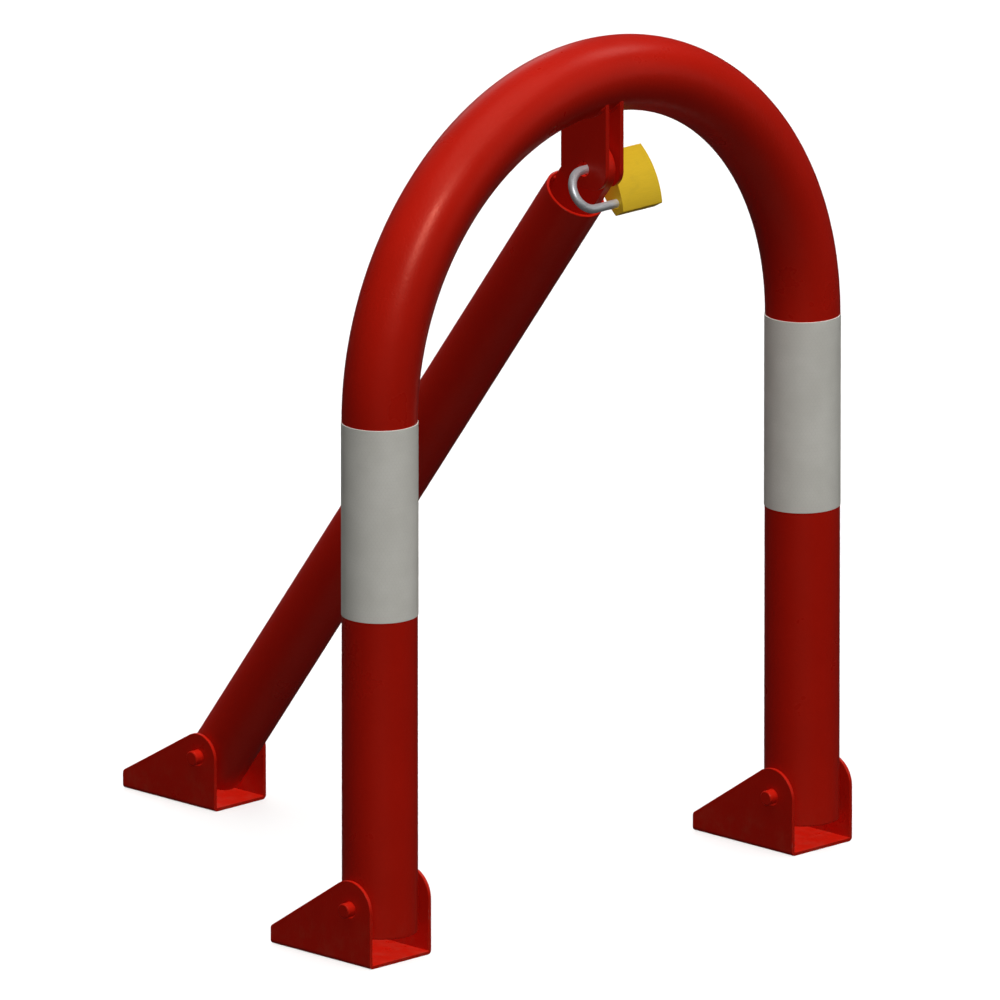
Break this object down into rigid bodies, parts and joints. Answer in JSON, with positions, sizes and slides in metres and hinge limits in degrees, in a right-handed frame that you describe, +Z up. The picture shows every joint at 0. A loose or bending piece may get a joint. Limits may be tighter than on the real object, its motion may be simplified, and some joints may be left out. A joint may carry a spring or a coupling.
{
  "type": "folding parking lock",
  "caption": "Folding hoop barrier for a parking space: a hinged tubular hoop held upright by a hinged strut and a padlock, on bolt-down feet.",
  "frame": {"origin": "middle of the footprint, on the ground", "axes": "+X along the hoop from the left leg to the right leg, +Y from the hoop back to the strut's foot, +Z up"},
  "size_m": [0.553, 0.5286, 0.7],
  "materials": {
    "hoop_paint": "gloss powder coat",
    "strut_paint": "gloss powder coat",
    "foot_paint": "gloss powder coat",
    "pin_paint": "gloss powder coat",
    "reflective_film": "satin retroreflective film",
    "lock_brass": "fine-brushed",
    "plug_brass": "turned",
    "pin_brass": "turned",
    "shackle_steel": "satin plated",
    "lock_steel": "ground",
    "spring_steel": "drawn wire"
  },
  "bodies": {
    "feet": {"left_foot_bracket": "foot_paint", "right_foot_bracket": "foot_paint", "rear_foot_bracket": "foot_paint"},
    "hoop": {"hoop_tube": "hoop_paint", "left_lug_plate": "hoop_paint", "right_lug_plate": "hoop_paint", "left_reflective_band": "reflective_film", "right_reflective_band": "reflective_film", "left_hinge_pin": "pin_paint", "right_hinge_pin": "pin_paint"},
    "strut": {"strut_tube": "strut_paint", "strut_tongue": "strut_paint", "rear_hinge_pin": "pin_paint"},
    "shackle": {"padlock_shackle": "shackle_steel"},
    "padlock": {"padlock_case": "lock_brass", "padlock_pin_cover": "lock_brass", "padlock_driver_pins": "pin_brass", "padlock_pin_springs": "spring_steel", "padlock_plug_retainer": "lock_steel", "padlock_shackle_keeper": "lock_steel", "padlock_shackle_spring": "spring_steel"},
    "lock_core": {"padlock_plug": "plug_brass", "padlock_key_pins": "pin_brass", "padlock_cam": "lock_steel"},
    "toe_bolt": {"padlock_toe_bolt": "lock_steel"},
    "heel_bolt": {"padlock_heel_bolt": "lock_steel"}
  },
  "joints": [
    {"name": "hoop_fold", "type": "hinge", "parent": "feet", "child": "hoop", "pos_m": [0, -0.23395, 0.0448], "axis": [1, 0, 0], "range_deg": [0, 90]},
    {"name": "strut_fold", "type": "hinge", "parent": "feet", "child": "strut", "pos_m": [0, 0.17955, 0.0418], "axis": [1, 0, 0], "range_deg": [0, 53.3]},
    {"name": "padlock_swing", "type": "hinge", "parent": "hoop", "child": "shackle", "pos_m": [0, -0.23395, 0.596], "axis": [1, 0, 0], "range_deg": [-75, 10]},
    {"name": "shackle_lift", "type": "slide", "parent": "shackle", "child": "padlock", "axis": [1, 0, 0], "range_m": [0, 0.011]},
    {"name": "key_turn", "type": "hinge", "parent": "padlock", "child": "lock_core", "pos_m": [0.03, -0.24171, 0.58201], "axis": [1, 0, 0], "range_deg": [0, 90]},
    {"name": "toe_bolt_slide", "type": "slide", "parent": "padlock", "child": "toe_bolt", "axis": [0, -0.4848, -0.8746], "range_m": [0, 0.0045]},
    {"name": "heel_bolt_slide", "type": "slide", "parent": "padlock", "child": "heel_bolt", "axis": [0, 0.4848, 0.8746], "range_m": [0, 0.0045]}
  ],
  "couplings": [
    {"joint": "key_turn", "follows": "shackle_lift", "rad_per_m": 142.79},
    {"joint": "toe_bolt_slide", "follows": "shackle_lift", "ratio": 0.409},
    {"joint": "heel_bolt_slide", "follows": "shackle_lift", "ratio": 0.409}
  ]
}
